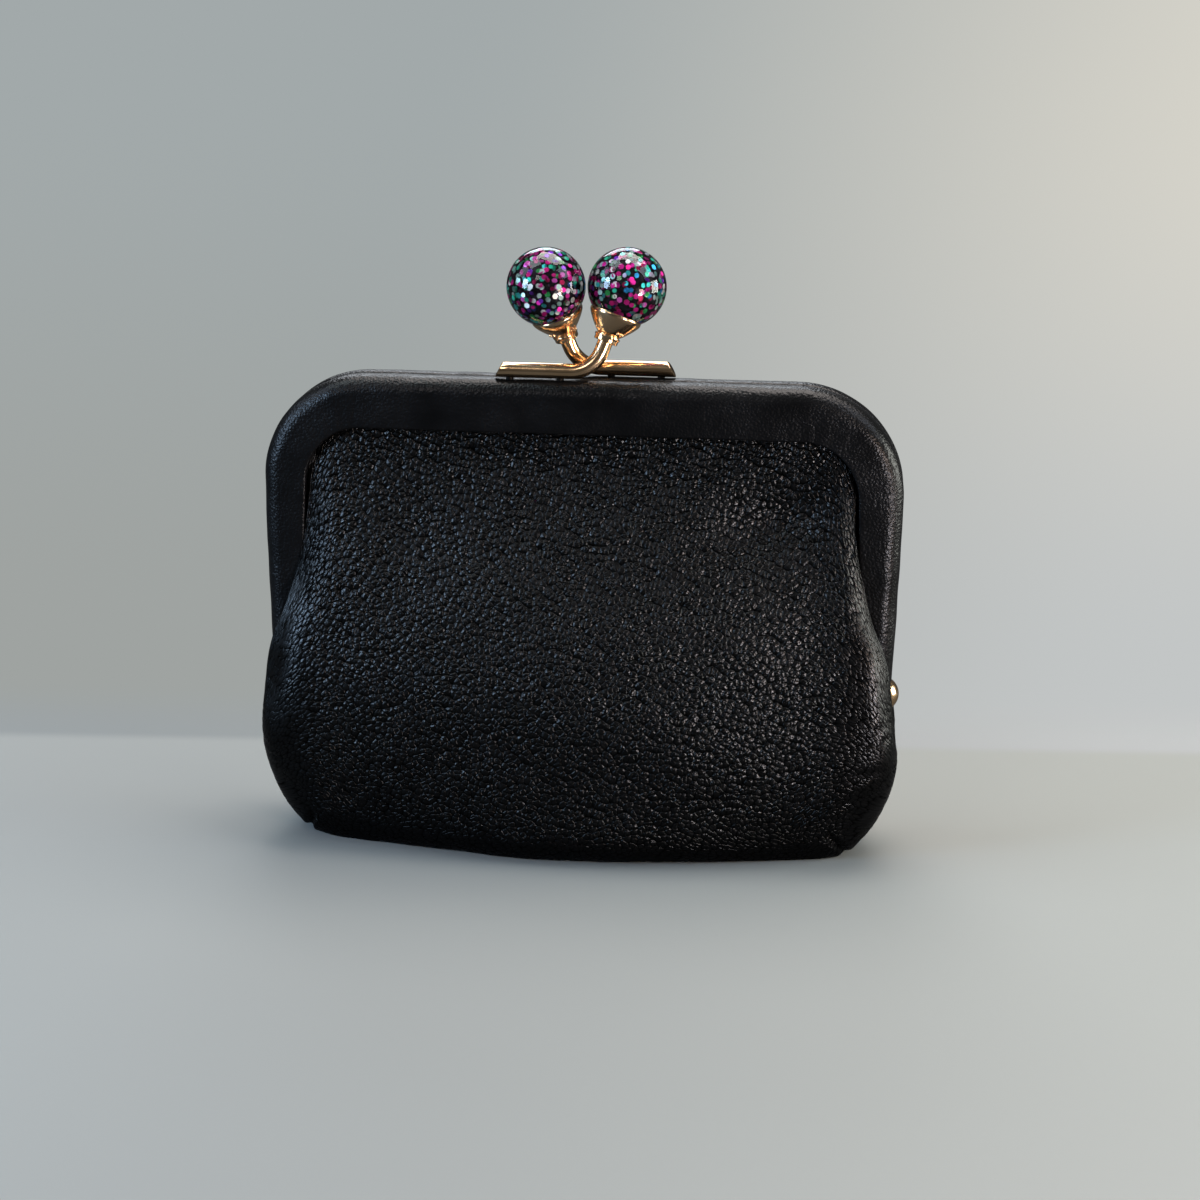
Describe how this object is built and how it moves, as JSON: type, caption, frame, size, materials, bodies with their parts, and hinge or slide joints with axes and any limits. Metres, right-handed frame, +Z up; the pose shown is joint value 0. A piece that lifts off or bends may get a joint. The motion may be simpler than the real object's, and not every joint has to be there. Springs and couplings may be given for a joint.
{
  "type": "kiss lock frame purse",
  "caption": "Small leather coin purse on a leather-covered hinged metal frame, closed by a kiss lock of crossed gold stems with glitter ball knobs.",
  "frame": {"origin": "on the ground under the middle of the closed purse, between the front and rear leather", "axes": "+X to the right along the frame, -Y out of the front of the purse, +Z up to the clasp"},
  "size_m": [0.124, 0.0376, 0.1167],
  "materials": {
    "pebbled_leather": "pebbled grain, semi-gloss",
    "smooth_leather": "fine grain, satin",
    "lining_fabric": "plain weave, dull",
    "padding": "felted wadding",
    "paper_cord": "twisted kraft paper",
    "gilt_steel": "plated, satin",
    "polished_gold": "plated, mirror polish",
    "knob_core": "dark resin with flakes",
    "clear_resin": "clear gloss resin"
  },
  "bodies": {
    "pouch": {"front_panel": "pebbled_leather", "rear_panel": "pebbled_leather", "front_lining": "lining_fabric", "rear_lining": "lining_fabric"},
    "front_frame": {"front_frame_cover": "smooth_leather", "front_frame_channel": "gilt_steel", "front_frame_padding": "padding", "front_paper_cord": "paper_cord", "front_clasp_bar": "polished_gold", "front_bar_posts": "gilt_steel", "front_knob_cap": "polished_gold", "front_knob_core": "knob_core", "front_knob_shell": "clear_resin"},
    "rear_frame": {"rear_frame_cover": "smooth_leather", "rear_frame_channel": "gilt_steel", "rear_frame_padding": "padding", "rear_paper_cord": "paper_cord", "rear_clasp_bar": "polished_gold", "rear_bar_posts": "gilt_steel", "rear_knob_cap": "polished_gold", "rear_knob_core": "knob_core", "rear_knob_shell": "clear_resin", "left_hinge_rivet": "polished_gold", "right_hinge_rivet": "polished_gold"}
  },
  "joints": [
    {"name": "front_frame_swing", "type": "hinge", "parent": "pouch", "child": "front_frame", "pos_m": [0, 0, 0.032], "axis": [1, 0, 0], "range_deg": [0, 45], "deforming": ["front_panel", "front_lining"]},
    {"name": "rear_frame_swing", "type": "hinge", "parent": "pouch", "child": "rear_frame", "pos_m": [0, 0, 0.032], "axis": [1, 0, 0], "range_deg": [-45, 0], "deforming": ["rear_panel", "rear_lining"]}
  ],
  "couplings": [
    {"joint": "rear_frame_swing", "follows": "front_frame_swing", "ratio": -1}
  ]
}
